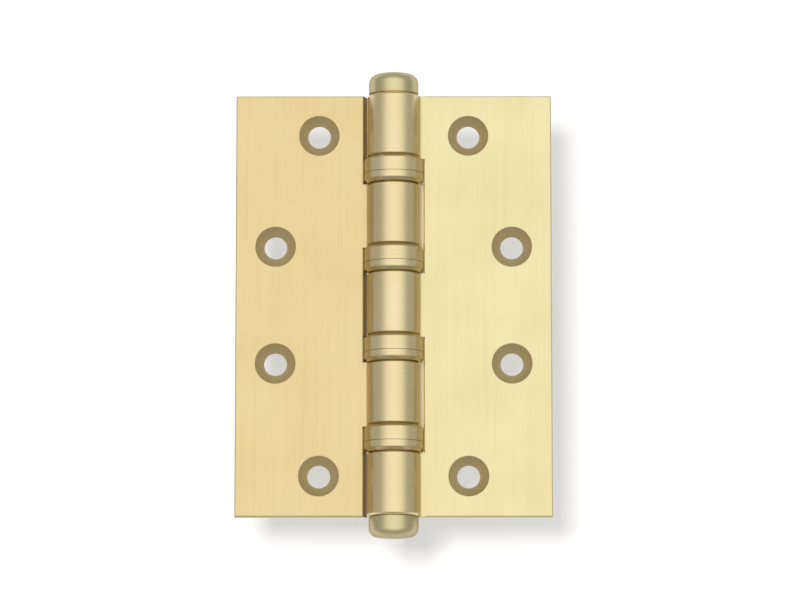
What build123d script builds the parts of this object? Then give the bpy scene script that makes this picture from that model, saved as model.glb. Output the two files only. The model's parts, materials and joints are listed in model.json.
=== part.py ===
from build123d import *
import math
import os

# A five-knuckle ball bearing butt hinge, opened flat, with its pin upright.
# The pin's axis is Z and the origin is on it, at mid height. The countersunk
# faces look along -Y. The frame leaf, with three knuckles, lies on the +X side,
# and the door leaf, with two knuckles, on the -X side. All sizes are in
# millimetres.

# Leaves
LEAF_HEIGHT = 102.0
OPEN_WIDTH = 76.0
LEAF_THICKNESS = 3.0
FACE_SETBACK = 0.65
NOTCH_CLEARANCE = 0.2
EDGE_BREAK = 0.25

# Knuckles, rolled from the leaf's own sheet
KNUCKLE_COUNT = 5
NECK_ANGLE = 30.0
BEND_RADIUS = 1.5
ROLL_END_ANGLE = 40.0
ROLL_SLIT = 0.2
KNUCKLE_CHAMFER = 0.55

# Screw holes, four in each leaf
SCREW_HOLE_DIAMETER = 5.5
COUNTERSINK_DIAMETER = 9.8
COUNTERSINK_ANGLE = 90.0
OUTER_HOLE_INSET = 9.6
INNER_HOLE_INSET = 10.7
END_HOLE_INSET = 9.75
MIDDLE_HOLE_SPACING = 28.3

# Pin and the two button tips
PIN_DIAMETER = 6.5
PIN_CLEARANCE = 0.05
PIN_LEAD = 0.6
TIP_HEIGHT = 5.0
TIP_STEP = 0.35
TIP_ROUNDING = 2.2
TIP_CHAMFER = 0.25
SPIGOT_LENGTH = 6.0
SPIGOT_GAP = 0.5

# Ball thrust bearings, one between each two knuckles
BALL_DIAMETER = 2.0
BALL_COUNT = 6
BALL_CLEARANCE = 0.05
GROOVE_DEPTH = 0.5
BEARING_BORE_CLEARANCE = 0.1
CASING_WALL = 0.6
CASING_TOP = 1.9
RACE_HEIGHT = 2.35
CASING_CHAMFER = 0.55
RACE_CHAMFER = 0.75
SEAM_GAP = 0.1
CAGE_THICKNESS = 0.8
CAGE_RIM = 0.35
CAGE_GAP = 0.15

# Radii, worked out from the pin outwards
PIN_RADIUS = PIN_DIAMETER / 2
BORE_RADIUS = PIN_RADIUS + PIN_CLEARANCE
KNUCKLE_RADIUS = BORE_RADIUS + LEAF_THICKNESS
TIP_RADIUS = KNUCKLE_RADIUS - TIP_STEP
BEARING_BORE_RADIUS = PIN_RADIUS + BEARING_BORE_CLEARANCE
CAGE_BORE_RADIUS = BEARING_BORE_RADIUS + CAGE_GAP
POCKET_RADIUS = BALL_DIAMETER / 2 + BALL_CLEARANCE
BALL_RING_RADIUS = CAGE_BORE_RADIUS + CAGE_RIM + POCKET_RADIUS
CAGE_RADIUS = BALL_RING_RADIUS + POCKET_RADIUS + CAGE_RIM
CASING_BORE_RADIUS = CAGE_RADIUS + CAGE_GAP
BEARING_RADIUS = CASING_BORE_RADIUS + CASING_WALL
NOTCH_RADIUS = max(BEARING_RADIUS, KNUCKLE_RADIUS) + NOTCH_CLEARANCE
HALF_WIDTH = OPEN_WIDTH / 2

# Heights. A ball sits between two vee grooves with sides at 45 degrees, so its
# middle is its radius times the root of 2 from each groove's bottom.
RACE_SPACING = 2 * (POCKET_RADIUS * math.sqrt(2) - GROOVE_DEPTH)
BEARING_HEIGHT = RACE_HEIGHT + RACE_SPACING + CASING_TOP
BEARING_COUNT = KNUCKLE_COUNT - 1
KNUCKLE_HEIGHT = (LEAF_HEIGHT - BEARING_COUNT * BEARING_HEIGHT) / KNUCKLE_COUNT
KNUCKLE_PITCH = KNUCKLE_HEIGHT + BEARING_HEIGHT
TOP = LEAF_HEIGHT / 2


def knuckle_bottom(index):
    """Height of the lower end of a knuckle; knuckle 0 is at the top."""
    return TOP - KNUCKLE_HEIGHT - index * KNUCKLE_PITCH


def bearing_bottom(index):
    """Height of the lower face of the bearing that lies below a knuckle."""
    return knuckle_bottom(index) - BEARING_HEIGHT


def turned(outline, base=0.0):
    """Solid of revolution about the pin, from lines drawn in (radius, height)."""
    return Pos(0, 0, base) * revolve(Plane.XZ * make_face(outline), Axis.Z)


def turned_polygon(points, base=0.0):
    """The same, from the corners of a closed polygon."""
    return turned(Polyline(*points, close=True), base)


def lifted(section, height, base):
    """A section drawn on the XY plane, extruded upwards from a height."""
    return extrude(Pos(0, 0, base) * section, height)


def neck_section():
    """The sheet from the leaf's flat to the roll: flat, then bent back."""
    root = NOTCH_RADIUS + EDGE_BREAK
    lean = math.radians(NECK_ANGLE)
    reach = Vector(math.sin(lean), math.cos(lean))
    back = FACE_SETBACK + LEAF_THICKNESS
    bore_point = reach * BORE_RADIUS
    outer_point = reach * KNUCKLE_RADIUS
    front_corner = bore_point.X + (bore_point.Y - FACE_SETBACK) / math.tan(lean)
    back_corner = outer_point.X + (outer_point.Y - back) / math.tan(lean)
    outline = Polyline(
        (bore_point.X, bore_point.Y),
        (front_corner, FACE_SETBACK),
        (root, FACE_SETBACK),
        (root, back),
        (back_corner, back),
        (outer_point.X, outer_point.Y),
        close=True,
    )
    neck = make_face(outline)
    for corner, radius in (
        ((front_corner, FACE_SETBACK), BEND_RADIUS + LEAF_THICKNESS),
        ((back_corner, back), BEND_RADIUS),
    ):
        vertex = neck.vertices().sort_by_distance((*corner, 0))[0]
        neck = fillet(vertex, radius)
    return neck


def sector(start, end, radius):
    """Wedge from the origin between two angles measured from +Y towards +X."""
    points = [(0, 0)]
    for angle in (start, end):
        turn = math.radians(angle)
        points.append((radius * math.sin(turn), radius * math.cos(turn)))
    return make_face(Polyline(*points, close=True))


def roll_section():
    """The rolled ring of the knuckle, open by a slit where it meets the leaf."""
    ring = Circle(KNUCKLE_RADIUS) - Circle(BORE_RADIUS)
    neck = neck_section()
    reach = 2 * KNUCKLE_RADIUS
    beyond_neck = sector(NECK_ANGLE, NECK_ANGLE + 90, reach * 2)
    slit = offset(neck, ROLL_SLIT) & beyond_neck
    square_end = sector(NECK_ANGLE, NECK_ANGLE + ROLL_END_ANGLE, reach)
    return ring - slit - square_end


def knuckle(base):
    """One knuckle with its neck, standing on a height."""
    blank = turned_polygon(
        [
            (0, 0),
            (KNUCKLE_RADIUS - KNUCKLE_CHAMFER, 0),
            (KNUCKLE_RADIUS, KNUCKLE_CHAMFER),
            (KNUCKLE_RADIUS, KNUCKLE_HEIGHT - KNUCKLE_CHAMFER),
            (KNUCKLE_RADIUS - KNUCKLE_CHAMFER, KNUCKLE_HEIGHT),
            (0, KNUCKLE_HEIGHT),
        ],
        base,
    )
    roll = lifted(roll_section(), KNUCKLE_HEIGHT, base) & blank
    return roll + lifted(neck_section(), KNUCKLE_HEIGHT, base)


def plate():
    """The flat of a leaf, coped round the barrel, with its edges broken."""
    centre = (HALF_WIDTH / 2, FACE_SETBACK + LEAF_THICKNESS / 2, 0)
    body = Pos(*centre) * Box(HALF_WIDTH, LEAF_THICKNESS, LEAF_HEIGHT)
    body -= Cylinder(NOTCH_RADIUS, LEAF_HEIGHT)
    front, *_, back = body.faces().sort_by(Axis.Y)
    return chamfer(front.edges() + back.edges(), EDGE_BREAK)


def hole_places():
    """The (x, z) of a leaf's four screw holes, in a zigzag."""
    inner = NOTCH_RADIUS + INNER_HOLE_INSET
    outer = HALF_WIDTH - OUTER_HOLE_INSET
    end = TOP - END_HOLE_INSET
    middle = MIDDLE_HOLE_SPACING / 2
    return [(inner, end), (outer, middle), (outer, -middle), (inner, -end)]


def screw_hole():
    """Cutter for one countersunk hole, its axis on Y, from the front face back."""
    hole = SCREW_HOLE_DIAMETER / 2
    rim = COUNTERSINK_DIAMETER / 2
    slope = math.tan(math.radians(COUNTERSINK_ANGLE / 2))
    overshoot = LEAF_THICKNESS
    cutter = turned_polygon(
        [
            (0, -overshoot),
            (rim + overshoot * slope, -overshoot),
            (hole, (rim - hole) / slope),
            (hole, LEAF_THICKNESS + overshoot),
            (0, LEAF_THICKNESS + overshoot),
        ]
    )
    return Pos(0, FACE_SETBACK, 0) * Rot(-90, 0, 0) * cutter


def leaf(knuckles):
    """A leaf on the +X side with the knuckles of the given numbers."""
    body = plate()
    for index in knuckles:
        body += knuckle(knuckle_bottom(index))
    for x, z in hole_places():
        body -= Pos(x, 0, z) * screw_hole()
    return body


def button(shank_radius, shank_length):
    """A button tip seated at height 0, with its round shank below it."""
    flat = TIP_RADIUS - TIP_ROUNDING
    straight = TIP_HEIGHT - TIP_ROUNDING
    sides = Polyline(
        (flat, TIP_HEIGHT),
        (0, TIP_HEIGHT),
        (0, -shank_length),
        (shank_radius - PIN_LEAD, -shank_length),
        (shank_radius, PIN_LEAD - shank_length),
        (shank_radius, 0),
        (TIP_RADIUS - TIP_CHAMFER, 0),
        (TIP_RADIUS, TIP_CHAMFER),
        (TIP_RADIUS, straight),
    )
    rounding = CenterArc((flat, straight), TIP_ROUNDING, 0, 90)
    return turned(sides + rounding)


def pin():
    """The pin, with the upper button as its head."""
    shank_length = LEAF_HEIGHT - SPIGOT_LENGTH - SPIGOT_GAP
    return Pos(0, 0, TOP) * button(PIN_RADIUS, shank_length)


def bottom_tip():
    """The lower button, plugged into the last knuckle under the pin's end."""
    return Pos(0, 0, -TOP) * Rot(180, 0, 0) * button(PIN_RADIUS, SPIGOT_LENGTH)


def bearing_race():
    """The lower half of a bearing, a turned ring with a vee groove on top."""
    return turned_polygon(
        [
            (BEARING_BORE_RADIUS, 0),
            (BEARING_RADIUS - RACE_CHAMFER, 0),
            (BEARING_RADIUS, RACE_CHAMFER),
            (BEARING_RADIUS, RACE_HEIGHT),
            (BALL_RING_RADIUS + GROOVE_DEPTH, RACE_HEIGHT),
            (BALL_RING_RADIUS, RACE_HEIGHT - GROOVE_DEPTH),
            (BALL_RING_RADIUS - GROOVE_DEPTH, RACE_HEIGHT),
            (BEARING_BORE_RADIUS, RACE_HEIGHT),
        ]
    )


def bearing_casing():
    """The upper half, a cup whose wall closes the bearing down to a seam."""
    ceiling = RACE_HEIGHT + RACE_SPACING
    seam = RACE_HEIGHT + SEAM_GAP
    return turned_polygon(
        [
            (BEARING_BORE_RADIUS, BEARING_HEIGHT),
            (BEARING_BORE_RADIUS, ceiling),
            (BALL_RING_RADIUS - GROOVE_DEPTH, ceiling),
            (BALL_RING_RADIUS, ceiling + GROOVE_DEPTH),
            (BALL_RING_RADIUS + GROOVE_DEPTH, ceiling),
            (CASING_BORE_RADIUS, ceiling),
            (CASING_BORE_RADIUS, seam),
            (BEARING_RADIUS, seam),
            (BEARING_RADIUS, BEARING_HEIGHT - CASING_CHAMFER),
            (BEARING_RADIUS - CASING_CHAMFER, BEARING_HEIGHT),
        ]
    )


def ball_places():
    """Where the balls of a bearing lie, evenly round the pin."""
    middle = RACE_HEIGHT + RACE_SPACING / 2
    return Pos(0, 0, middle) * PolarLocations(BALL_RING_RADIUS, BALL_COUNT)


def bearing_balls():
    """The balls of one bearing, as separate solids."""
    return [place * Sphere(BALL_DIAMETER / 2) for place in ball_places()]


def bearing_cage():
    """The flat ring that keeps the balls apart, with a pocket for each."""
    middle = RACE_HEIGHT + RACE_SPACING / 2
    disc = Cylinder(CAGE_RADIUS, CAGE_THICKNESS)
    body = Pos(0, 0, middle) * (disc - Cylinder(CAGE_BORE_RADIUS, CAGE_THICKNESS))
    for place in ball_places():
        body -= place * Cylinder(POCKET_RADIUS, 2 * CAGE_THICKNESS)
    return body


def hinge_nodes():
    """Every node of the hinge by name, each a list of its solids."""
    frame_knuckles = range(0, KNUCKLE_COUNT, 2)
    door_knuckles = range(1, KNUCKLE_COUNT, 2)
    nodes = {
        "frame_leaf": [leaf(frame_knuckles)],
        "door_leaf": [mirror(leaf(door_knuckles), about=Plane.YZ)],
        "pin": [pin()],
        "bottom_tip": [bottom_tip()],
    }
    pieces = {
        "casing": [bearing_casing()],
        "race": [bearing_race()],
        "cage": [bearing_cage()],
        "balls": bearing_balls(),
    }
    for index in range(BEARING_COUNT):
        seat = Pos(0, 0, bearing_bottom(index))
        for name, solids in pieces.items():
            nodes[f"bearing_{index + 1}_{name}"] = [seat * solid for solid in solids]
    return nodes


def write_nodes(nodes):
    """One STEP file for each node."""
    os.makedirs("parts", exist_ok=True)
    for name, solids in nodes.items():
        shape = solids[0] if len(solids) == 1 else Compound(children=solids)
        export_step(shape, f"parts/{name}.step")


write_nodes(hinge_nodes())
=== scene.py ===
import json
import math

import bpy
from mathutils import Euler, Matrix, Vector


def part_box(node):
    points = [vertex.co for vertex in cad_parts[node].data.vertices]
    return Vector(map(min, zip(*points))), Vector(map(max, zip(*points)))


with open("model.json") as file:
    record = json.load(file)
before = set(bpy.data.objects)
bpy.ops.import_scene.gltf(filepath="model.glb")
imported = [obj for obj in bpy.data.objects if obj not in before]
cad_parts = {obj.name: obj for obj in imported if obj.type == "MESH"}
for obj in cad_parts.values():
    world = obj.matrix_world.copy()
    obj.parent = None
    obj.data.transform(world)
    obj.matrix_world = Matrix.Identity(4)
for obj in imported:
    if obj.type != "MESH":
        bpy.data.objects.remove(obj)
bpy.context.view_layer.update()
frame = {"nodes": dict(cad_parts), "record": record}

MM = 0.001

# Metal colours, in linear light
FRAME_LEAF_TONE = (0.925, 0.835, 0.465)
# The door leaf's brass is the frame leaf's made darker: painted shade
DOOR_LEAF_SHADED_TONE = (0.87, 0.71, 0.37)
# Barrel brass in a lit copy for its front and a shaded copy for its flanks: painted highlight and
# painted shade
BARREL_TONE = (0.94, 0.805, 0.475)
BARREL_PAINTED_SHADE_TONE = (0.82, 0.71, 0.48)
# The tips' brass is darker than the barrel's, and darker still on their flanks and rounded ends:
# painted shade
TIP_TONE = (0.78, 0.70, 0.40)
TIP_PAINTED_SHADE_TONE = (0.56, 0.49, 0.30)
# Painted shade in the seams above and below the bearings
SEAM_PAINTED_SHADE_TONE = (0.72, 0.61, 0.36)
# Painted shade in the seam where the knuckles end and the tips begin
KNUCKLE_END_SHADE_TONE = (0.30, 0.22, 0.11)
# Darker in the countersinks: painted shade in the hollows, on faces that are rougher where drilled
COUNTERSINK_SHADED_TONE = (0.62, 0.52, 0.30)
# Coped recesses beside the knuckles: painted light on the frame leaf's, painted shade on the door
# leaf's
FRAME_RECESS_PAINTED_LIGHT_TONE = (1.0, 0.92, 0.64)
DOOR_RECESS_PAINTED_SHADE_TONE = (0.29, 0.20, 0.10)
CAGE_TONE = (0.62, 0.46, 0.20)
STEEL_TONE = (0.62, 0.62, 0.63)
EDGE_TINT = (0.60, 0.55, 0.48)
WARM_CAST = (0.985, 0.965, 0.92)
PALE_CAST = (1.02, 1.02, 1.02)
TROUGH_SHADE = (0.93, 0.93, 0.93)
NO_SHADE = (1, 1, 1)

# Roughness, and what the grain adds to it
LEAF_ROUGHNESS = 0.27
BARREL_ROUGHNESS = 0.26
COUNTERSINK_ROUGHNESS = 0.42
RECESS_ROUGHNESS = 0.7
RECESS_BARENESS = 0.1
GRAIN_ROUGHNESS = 0.10
CAGE_ROUGHNESS = 0.34
CAGE_GRAIN_ROUGHNESS = 0.12
BALL_ROUGHNESS = (0.06, 0.16)

# Grain: its depth in millimetres, and how many of its waves fill a millimetre each way
GRAIN_DEPTH = 0.012
CAGE_GRAIN_DEPTH = 0.008
BALL_GRAIN_DEPTH = 0.0005
TURNED_WAVES = (0.05, 0.05, 7.0)
BRUSHED_WAVES = (5.0, 5.0, 0.05)
BROAD_BRUSHED_WAVES = (0.9, 0.9, 0.012)
BROAD_BRUSHED_SHARE = 0.35
RING_WAVES = 5.0
CAGE_WAVES = 1.5
BALL_WAVES = 4.0
CLOUD_WAVES = 0.06

# Detail and roughness of the grain's noise, and the levels it is read between
GRAIN_DETAIL = (3.0, 0.6)
MARK_DETAIL = (4.0, 0.6)
CLOUD_LEVELS = (0.3, 0.7)
TROUGH_LEVELS = (0.25, 0.6)
BALL_MARK_LEVELS = (0.3, 0.8)

# Places on the leaves, in millimetres
KNUCKLE_RADIUS = 6.3
NOTCH_RADIUS = 7.25
FRONT_FACE = 0.65
BACK_FACE = 3.65
COUNTERSINK_RADIUS = 4.9
LEAF_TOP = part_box("frame_leaf")[1][2] / MM

# Rows of screws in the frame leaf; the door leaf's mirror them
MOUNTS = frame["record"]["mounts"]
SCREWS = [row for row in MOUNTS if row["kind"] == "bolt_pattern" and row["pos_m"][0] > 0]

# Places on the barrel, in millimetres
BEARING_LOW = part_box("bearing_1_race")[0][2] / MM
BEARING_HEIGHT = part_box("bearing_1_casing")[1][2] / MM - BEARING_LOW
BEARING_PITCH = BEARING_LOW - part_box("bearing_2_race")[0][2] / MM
# Depths before and behind the pin's axis, in millimetres, over which the painted shade on the flanks
# fades out
FLANK_DEPTHS = (2.4, 5.6)
# Reach of the painted shade in the seams, how far the lower seam's band is moved down, and how far
# below the leaf's top it stops
SEAM_REACH = (0.45, 0.85)
LOWER_SEAM_SHIFT = 0.25
OUTER_SEAM_INSET = 2.0
# Reach of the painted shade where the knuckles end
KNUCKLE_END_REACH = 0.05
TIP_RISE = 0.1
# Heights past the leaf's top, in millimetres, where painted shade covers the tips' rounded ends
TIP_END_REACH = (4.3, 4.8)

# Where one surface gives way to the next, in millimetres past its edge
BARREL_REACH = (0.03, 0.15)
NOTCH_REACH = (0.05, 0.15)
COUNTERSINK_REACH = (-0.05, 0.05)
FRONT_REACH = (0.02, 0.12)
BACK_REACH = (-0.08, -0.03)

# How squarely a face looks at the pin, from fully (-1) to sideways (0)
PIN_FACING = (-0.9, -0.7)

# Camera, fitted to the leaves' corners, the screw holes and the barrel's seams
CAMERA_PLACE = (5.6 * MM, -1.0, -143.3 * MM)
CAMERA_PITCH = math.radians(8.21)
CAMERA_YAW = math.radians(0.22)
CAMERA_FOCAL_PIXELS = 4211.0
CAMERA_RANGE = 20.0
FRAME_WIDTH_PIXELS = 802.0
SENSOR_WIDTH = 36.0

# Sheet of paper behind the hinge
SHEET_DISTANCE = 42 * MM
SHEET_HALF_SIZE = 0.6
PAPER_TONE = 0.38
PAPER_GLOW = 0.46
PAPER_ROUGHNESS = 0.9
# A painted pool of light on the paper: full within these half sizes, then falling over the fade
# length to the rim's level
WHITE_HALF_WIDTH = 0.108
WHITE_HALF_HEIGHT = 0.086
FADE_LENGTH = 0.09
RIM_LEVEL = 0.45

# Light
SOFTBOX_EDGE = math.radians(16)
SOFTBOX_END = math.radians(62)
SOFTBOX_TURN = math.radians(2)
SIDE_LIGHT = 0.40
KEY_PLACE = (-0.27, -2.0, 0.03)
KEY_SIZE = 0.34
KEY_POWER = 45.0


class Nodes:
    """Short calls that add nodes to one material's tree."""

    def __init__(self, tree):
        self.tree = tree
        tree.nodes.clear()

    def add(self, kind, **settings):
        """A node of a kind, with its settings."""
        node = self.tree.nodes.new(kind)
        for name, value in settings.items():
            setattr(node, name, value)
        return node

    def feed(self, value, socket):
        """Link an output into a socket, or set the socket's own value."""
        if isinstance(value, bpy.types.NodeSocket):
            self.tree.links.new(value, socket)
        else:
            socket.default_value = value

    def split(self, vector):
        """The three parts of a vector."""
        node = self.add("ShaderNodeSeparateXYZ")
        self.feed(vector, node.inputs[0])
        return tuple(node.outputs)

    def math(self, operation, *values):
        """The result of a math node."""
        node = self.add("ShaderNodeMath", operation=operation)
        for value, socket in zip(values, node.inputs):
            self.feed(value, socket)
        return node.outputs[0]

    def distance(self, aside, above):
        """The length of a line with these two parts."""
        squares = [self.math("MULTIPLY", part, part) for part in (aside, above)]
        return self.math("SQRT", self.math("ADD", *squares))

    def dot(self, first, second):
        """The dot product of two vectors."""
        node = self.add("ShaderNodeVectorMath", operation="DOT_PRODUCT")
        self.feed(first, node.inputs[0])
        self.feed(second, node.inputs[1])
        return node.outputs["Value"]

    def span(self, value, low, high, start=0.0, end=1.0):
        """A value eased from start to end as it goes from low to high."""
        node = self.add("ShaderNodeMapRange", interpolation_type="SMOOTHSTEP")
        for number, socket in zip((value, low, high, start, end), node.inputs):
            self.feed(number, socket)
        return node.outputs[0]

    def past(self, value, edge, reach):
        """0 before an edge and 1 past it, eased over a reach beside it."""
        return self.span(value, edge + reach[0], edge + reach[1])

    def short_of(self, value, edge, reach):
        """1 before an edge and 0 past it, eased over a reach beside it."""
        return self.span(value, edge + reach[0], edge + reach[1], 1.0, 0.0)

    def stretch(self, vector, scale):
        """A vector scaled differently along each axis."""
        node = self.add("ShaderNodeVectorMath", operation="MULTIPLY")
        self.feed(vector, node.inputs[0])
        node.inputs[1].default_value = scale
        return node.outputs[0]

    def noise(self, vector, scale, detail=2.0, roughness=0.5):
        """Smooth noise from 0 to 1."""
        node = self.add("ShaderNodeTexNoise")
        self.feed(vector, node.inputs["Vector"])
        node.inputs["Scale"].default_value = scale
        node.inputs["Detail"].default_value = detail
        node.inputs["Roughness"].default_value = roughness
        return node.outputs["Fac"]

    def blend(self, share, first, second, way="MIX"):
        """A mix of two colours, plain or by multiplying them."""
        node = self.add("ShaderNodeMix", data_type="RGBA", blend_type=way)
        self.feed(share, node.inputs[0])
        for colour, socket in ((first, node.inputs[6]), (second, node.inputs[7])):
            self.feed((*colour, 1) if isinstance(colour, tuple) else colour, socket)
        return node.outputs[2]

    def mix(self, share, first, second):
        """A mix of two numbers."""
        node = self.add("ShaderNodeMix", data_type="FLOAT")
        sockets = (node.inputs[0], node.inputs[2], node.inputs[3])
        for value, socket in zip((share, first, second), sockets):
            self.feed(value, socket)
        return node.outputs[0]


def new_material(name):
    """An empty node material."""
    material = bpy.data.materials.new(name)
    material.use_nodes = True
    return material, Nodes(material.node_tree)


def finish_metal(nodes, colour, roughness, height, depth, bare=1.0):
    """Metal from a colour, a roughness, a grain and its depth, and how bare its surface is."""
    shader = nodes.add("ShaderNodeBsdfPrincipled")
    output = nodes.add("ShaderNodeOutputMaterial")
    bump = nodes.add("ShaderNodeBump")
    bump.inputs["Distance"].default_value = depth * MM
    bump.inputs["Strength"].default_value = 1.0
    shader.inputs["Metallic"].default_value = 1.0
    shader.inputs["Specular Tint"].default_value = (*EDGE_TINT, 1)
    nodes.feed(bare, shader.inputs["Metallic"])
    nodes.feed(height, bump.inputs["Height"])
    nodes.feed(colour, shader.inputs["Base Color"])
    nodes.feed(roughness, shader.inputs["Roughness"])
    nodes.feed(bump.outputs["Normal"], shader.inputs["Normal"])
    nodes.feed(shader.outputs["BSDF"], output.inputs["Surface"])


def millimetres(nodes):
    """Places on the piece itself, in millimetres."""
    place = nodes.add("ShaderNodeTexCoord").outputs["Object"]
    return nodes.stretch(place, (1 / MM, 1 / MM, 1 / MM))


def grained(nodes, base, grain, share):
    """A roughness that rises with the grain."""
    return nodes.math("ADD", base, nodes.math("MULTIPLY", grain, share))


def facing_pin(nodes, place, radius):
    """1 on the coped edges and bores, whose faces look at the pin, else 0."""
    normal = nodes.add("ShaderNodeTexCoord").outputs["Normal"]
    outward = nodes.math("DIVIDE", nodes.dot(normal, nodes.stretch(place, (1, 1, 0))), radius)
    return nodes.span(outward, *PIN_FACING, 1.0, 0.0)


def barrel_seams(nodes, up, height):
    """1 in the seams above and below the bearings, where shade is painted, else 0."""
    turns = nodes.math("DIVIDE", nodes.math("SUBTRACT", up, BEARING_LOW), BEARING_PITCH)
    rise = nodes.math("MULTIPLY", nodes.math("FRACT", turns), BEARING_PITCH)
    upper = nodes.math("ABSOLUTE", nodes.math("SUBTRACT", rise, BEARING_HEIGHT))
    lower = nodes.math("PINGPONG", nodes.math("SUBTRACT", rise, LOWER_SEAM_SHIFT), BEARING_PITCH / 2)
    by_bearing = nodes.math("LESS_THAN", height, LEAF_TOP - OUTER_SEAM_INSET)
    return nodes.span(nodes.math("MINIMUM", upper, lower), *SEAM_REACH, by_bearing, 0.0)


def barrel_painted_tone(nodes, place):
    """Bright at the barrel's front as a painted highlight, darker on its flanks, its tips and in its
    seams as painted shade.
    """
    depth, up = nodes.split(place)[1:]
    height = nodes.math("ABSOLUTE", up)
    # Painted shade on the flanks, gone towards the barrel's front and back
    flank_shade = nodes.span(nodes.math("ABSOLUTE", depth), *FLANK_DEPTHS, 1.0, 0.0)
    tip_end_shade = nodes.past(height, LEAF_TOP, TIP_END_REACH)
    barrel = nodes.blend(flank_shade, BARREL_TONE, BARREL_PAINTED_SHADE_TONE)
    # Painted shade on the tips, their flanks and their rounded ends
    button = nodes.blend(nodes.math("MAXIMUM", flank_shade, tip_end_shade), TIP_TONE, TIP_PAINTED_SHADE_TONE)
    tone = nodes.blend(nodes.math("GREATER_THAN", height, LEAF_TOP + TIP_RISE), barrel, button)
    # Painted shade in the seams beside the bearings
    tone = nodes.blend(barrel_seams(nodes, up, height), tone, SEAM_PAINTED_SHADE_TONE)
    # Painted shade where the knuckles end
    knuckle_end_shade = nodes.math("COMPARE", height, LEAF_TOP, KNUCKLE_END_REACH)
    return nodes.blend(knuckle_end_shade, tone, KNUCKLE_END_SHADE_TONE)


def tinted(nodes, place, tone, grain):
    """A metal tone with faint warm and pale clouds, darker in the grain's troughs."""
    clouds = nodes.noise(place, CLOUD_WAVES)
    cast = nodes.blend(nodes.span(clouds, *CLOUD_LEVELS), WARM_CAST, PALE_CAST)
    shade = nodes.blend(nodes.span(grain, *TROUGH_LEVELS), TROUGH_SHADE, NO_SHADE)
    return nodes.blend(1.0, nodes.blend(1.0, tone, cast, "MULTIPLY"), shade, "MULTIPLY")


def turned_grain(nodes, place):
    """Fine lines round the pin, as a lathe and a polishing wheel leave them."""
    return nodes.noise(nodes.stretch(place, TURNED_WAVES), 1.0, *GRAIN_DETAIL)


def brushed_grain(nodes, place):
    """Fine lines up and down the leaf, as a brushing belt leaves them."""
    fine = nodes.noise(nodes.stretch(place, BRUSHED_WAVES), 1.0, *GRAIN_DETAIL)
    broad = nodes.noise(nodes.stretch(place, BROAD_BRUSHED_WAVES), 1.0)
    return nodes.mix(BROAD_BRUSHED_SHARE, fine, broad)


def nearest_hole(nodes, across, up):
    """How far a place lies from the nearest screw hole's axis, on either leaf."""
    side = nodes.math("ABSOLUTE", across)
    rise = nodes.math("ABSOLUTE", up)
    gaps = []
    for row in SCREWS:
        aside = nodes.math("SUBTRACT", side, row["pos_m"][0] / MM)
        above = nodes.math("SUBTRACT", rise, row["dims"]["spacing_y_mm"] / 2)
        gaps.append(nodes.distance(aside, above))
    return nodes.math("MINIMUM", *gaps)


def countersunk(nodes, hole_gap, depth):
    """1 on the countersinks and the holes' walls, else 0."""
    within = nodes.short_of(hole_gap, COUNTERSINK_RADIUS, COUNTERSINK_REACH)
    below = nodes.past(depth, FRONT_FACE, FRONT_REACH)
    before_back = nodes.short_of(depth, BACK_FACE, BACK_REACH)
    return nodes.math("MULTIPLY", nodes.math("MULTIPLY", within, below), before_back)


def leaf_brass(name, tone, recess_painted_tone):
    """Satin brass: brushed flats, turned knuckles and drilled countersinks, with light and shade
    painted on the knuckles, countersinks and coped recesses.
    """
    material, nodes = new_material(name)
    place = millimetres(nodes)
    across, depth, up = nodes.split(place)
    radius = nodes.distance(across, depth)
    hole_gap = nearest_hole(nodes, across, up)
    barrel = nodes.short_of(radius, KNUCKLE_RADIUS, BARREL_REACH)
    drilled = countersunk(nodes, hole_gap, depth)
    near = nodes.short_of(radius, NOTCH_RADIUS, NOTCH_REACH)
    recess = nodes.math("MULTIPLY", near, facing_pin(nodes, place, radius))

    brushed = brushed_grain(nodes, place)
    turned = turned_grain(nodes, place)
    rings = nodes.noise(nodes.math("MULTIPLY", hole_gap, RING_WAVES), 1.0)
    grain = nodes.mix(drilled, nodes.mix(barrel, brushed, turned), rings)

    flat = tinted(nodes, place, tone, brushed)
    round_part = tinted(nodes, place, barrel_painted_tone(nodes, place), turned)
    colour = nodes.blend(barrel, flat, round_part)
    # Painted shade in the countersinks
    colour = nodes.blend(drilled, colour, COUNTERSINK_SHADED_TONE)
    # Painted light on the frame leaf's coped faces and painted shade on the door leaf's
    colour = nodes.blend(recess, colour, recess_painted_tone)

    base = nodes.mix(drilled, LEAF_ROUGHNESS, COUNTERSINK_ROUGHNESS)
    base = nodes.mix(recess, base, RECESS_ROUGHNESS)
    roughness = grained(nodes, base, grain, GRAIN_ROUGHNESS)
    bare = nodes.mix(recess, 1.0, RECESS_BARENESS)
    finish_metal(nodes, colour, roughness, grain, GRAIN_DEPTH, bare)
    return material


def barrel_brass():
    """Satin brass of the pin, the lower tip and the bearings' rings."""
    material, nodes = new_material("barrel_brass")
    place = millimetres(nodes)
    grain = turned_grain(nodes, place)
    colour = tinted(nodes, place, barrel_painted_tone(nodes, place), grain)
    roughness = grained(nodes, BARREL_ROUGHNESS, grain, GRAIN_ROUGHNESS)
    finish_metal(nodes, colour, roughness, grain, GRAIN_DEPTH)
    return material


def cage_brass():
    """Duller brass of the stamped cages."""
    material, nodes = new_material("cage_brass")
    place = millimetres(nodes)
    marks = nodes.noise(place, CAGE_WAVES, *MARK_DETAIL)
    colour = tinted(nodes, place, CAGE_TONE, marks)
    roughness = grained(nodes, CAGE_ROUGHNESS, marks, CAGE_GRAIN_ROUGHNESS)
    finish_metal(nodes, colour, roughness, marks, CAGE_GRAIN_DEPTH)
    return material


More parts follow.
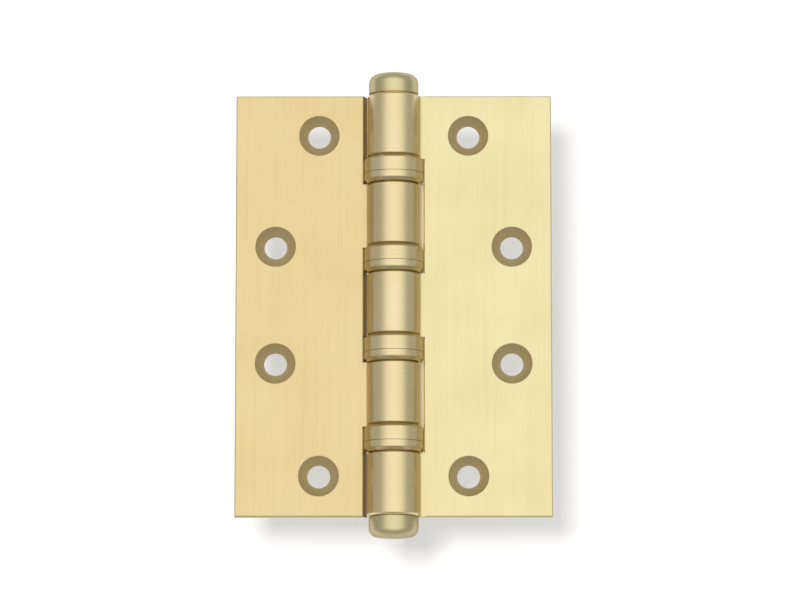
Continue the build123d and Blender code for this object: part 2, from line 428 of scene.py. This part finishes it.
def ball_steel():
    """Polished steel of the balls."""
    material, nodes = new_material("ball_steel")
    place = millimetres(nodes)
    marks = nodes.noise(place, BALL_WAVES, *MARK_DETAIL)
    colour = tinted(nodes, place, STEEL_TONE, marks)
    roughness = nodes.span(marks, *BALL_MARK_LEVELS, *BALL_ROUGHNESS)
    finish_metal(nodes, colour, roughness, marks, BALL_GRAIN_DEPTH)
    return material


def dress(node, material):
    """Give a CAD node its material."""
    slots = frame["nodes"][node].data.materials
    slots.clear()
    slots.append(material)


def dress_hinge():
    """A material for every CAD node."""
    dress("frame_leaf", leaf_brass("frame_leaf_brass", FRAME_LEAF_TONE, FRAME_RECESS_PAINTED_LIGHT_TONE))
    dress("door_leaf", leaf_brass("door_leaf_brass", DOOR_LEAF_SHADED_TONE, DOOR_RECESS_PAINTED_SHADE_TONE))
    barrel = barrel_brass()
    cage = cage_brass()
    steel = ball_steel()
    for node in frame["nodes"]:
        if node.endswith("_cage"):
            dress(node, cage)
        elif node.endswith("_balls"):
            dress(node, steel)
        elif not node.endswith("_leaf"):
            dress(node, barrel)


def make_camera():
    """The photograph's viewpoint: a long lens, a little below the hinge."""
    data = bpy.data.cameras.new("camera")
    data.sensor_width = SENSOR_WIDTH
    data.lens = CAMERA_FOCAL_PIXELS / FRAME_WIDTH_PIXELS * SENSOR_WIDTH
    data.clip_end = CAMERA_RANGE
    camera = bpy.data.objects.new("camera", data)
    camera.location = CAMERA_PLACE
    camera.rotation_euler = Euler((math.pi / 2 + CAMERA_PITCH, 0, CAMERA_YAW))
    bpy.context.scene.collection.objects.link(camera)
    bpy.context.scene.camera = camera


def seen_directly(nodes):
    """1 for rays from the camera and for what metal and glass show of a surface."""
    path = nodes.add("ShaderNodeLightPath")
    seen = path.outputs["Is Camera Ray"]
    for ray in ("Is Glossy Ray", "Is Transmission Ray"):
        seen = nodes.math("MAXIMUM", seen, path.outputs[ray])
    return seen


def painted_light_pool(nodes):
    """A painted pool of light: 1 over the middle of the paper, falling off towards its rim."""
    across, _, up = nodes.split(nodes.add("ShaderNodeTexCoord").outputs["Object"])
    aside = nodes.math("SUBTRACT", nodes.math("ABSOLUTE", across), WHITE_HALF_WIDTH)
    above = nodes.math("SUBTRACT", nodes.math("ABSOLUTE", up), WHITE_HALF_HEIGHT)
    beyond = nodes.math("MAXIMUM", aside, above)
    return nodes.span(beyond, 0.0, FADE_LENGTH, 1.0, RIM_LEVEL)


def sheet_paper():
    """Paper, white in the middle and pale grey outside under a painted pool of light; clear from
    behind.
    """
    material, nodes = new_material("sheet_paper")
    light_pool = painted_light_pool(nodes)
    shader = nodes.add("ShaderNodeBsdfPrincipled")
    white = (PAPER_TONE, PAPER_TONE, PAPER_TONE)
    grey = tuple(channel * RIM_LEVEL for channel in white)
    # The paper's tone and glow follow the painted pool of light
    nodes.feed(nodes.blend(light_pool, grey, white), shader.inputs["Base Color"])
    shader.inputs["Roughness"].default_value = PAPER_ROUGHNESS
    shader.inputs["Specular IOR Level"].default_value = 0.0
    shader.inputs["Emission Color"].default_value = (1, 1, 1, 1)
    glow = nodes.math("MULTIPLY", nodes.math("MULTIPLY", seen_directly(nodes), PAPER_GLOW), light_pool)
    nodes.feed(glow, shader.inputs["Emission Strength"])
    behind = nodes.add("ShaderNodeNewGeometry").outputs["Backfacing"]
    clear = nodes.add("ShaderNodeBsdfTransparent")
    choice = nodes.add("ShaderNodeMixShader")
    nodes.feed(behind, choice.inputs["Fac"])
    nodes.feed(shader.outputs["BSDF"], choice.inputs[1])
    nodes.feed(clear.outputs["BSDF"], choice.inputs[2])
    output = nodes.add("ShaderNodeOutputMaterial")
    nodes.feed(choice.outputs["Shader"], output.inputs["Surface"])
    return material


def make_sheet():
    """The white sheet behind the hinge, clear of the leaves' swing."""
    size = SHEET_HALF_SIZE
    depth = SHEET_DISTANCE
    corners = [(-size, depth, -size), (size, depth, -size), (size, depth, size), (-size, depth, size)]
    mesh = bpy.data.meshes.new("sheet")
    mesh.from_pydata(corners, [], [(0, 1, 2, 3)])
    mesh.materials.append(sheet_paper())
    sheet = bpy.data.objects.new("sheet", mesh)
    bpy.context.scene.collection.objects.link(sheet)


def make_world():
    """A studio with wide softboxes before and behind the hinge and dimmer sides."""
    world = bpy.data.worlds.new("studio")
    bpy.context.scene.world = world
    world.use_nodes = True
    nodes = Nodes(world.node_tree)
    output = nodes.add("ShaderNodeOutputWorld")
    background = nodes.add("ShaderNodeBackground")
    ahead = (math.sin(SOFTBOX_TURN), -math.cos(SOFTBOX_TURN), 0)
    direction = nodes.add("ShaderNodeTexCoord").outputs["Generated"]
    facing = nodes.math("ABSOLUTE", nodes.dot(direction, ahead))
    level = nodes.span(facing, math.cos(SOFTBOX_END), math.cos(SOFTBOX_EDGE), SIDE_LIGHT, 1.0)
    nodes.feed(level, background.inputs["Strength"])
    background.inputs["Color"].default_value = (1, 1, 1, 1)
    nodes.feed(background.outputs["Background"], output.inputs["Surface"])


def make_key_lamp():
    """A lamp that throws the hinge's soft shadow to the lower right."""
    data = bpy.data.lights.new("key", "AREA")
    data.size = KEY_SIZE
    data.energy = KEY_POWER
    lamp = bpy.data.objects.new("key", data)
    lamp.location = KEY_PLACE
    lamp.rotation_euler = (-Vector(KEY_PLACE)).to_track_quat("-Z", "Y").to_euler()
    lamp.visible_glossy = False
    bpy.context.scene.collection.objects.link(lamp)


make_camera()
make_world()
make_sheet()
make_key_lamp()
dress_hinge()
bpy.context.scene.view_settings.view_transform = "Standard"
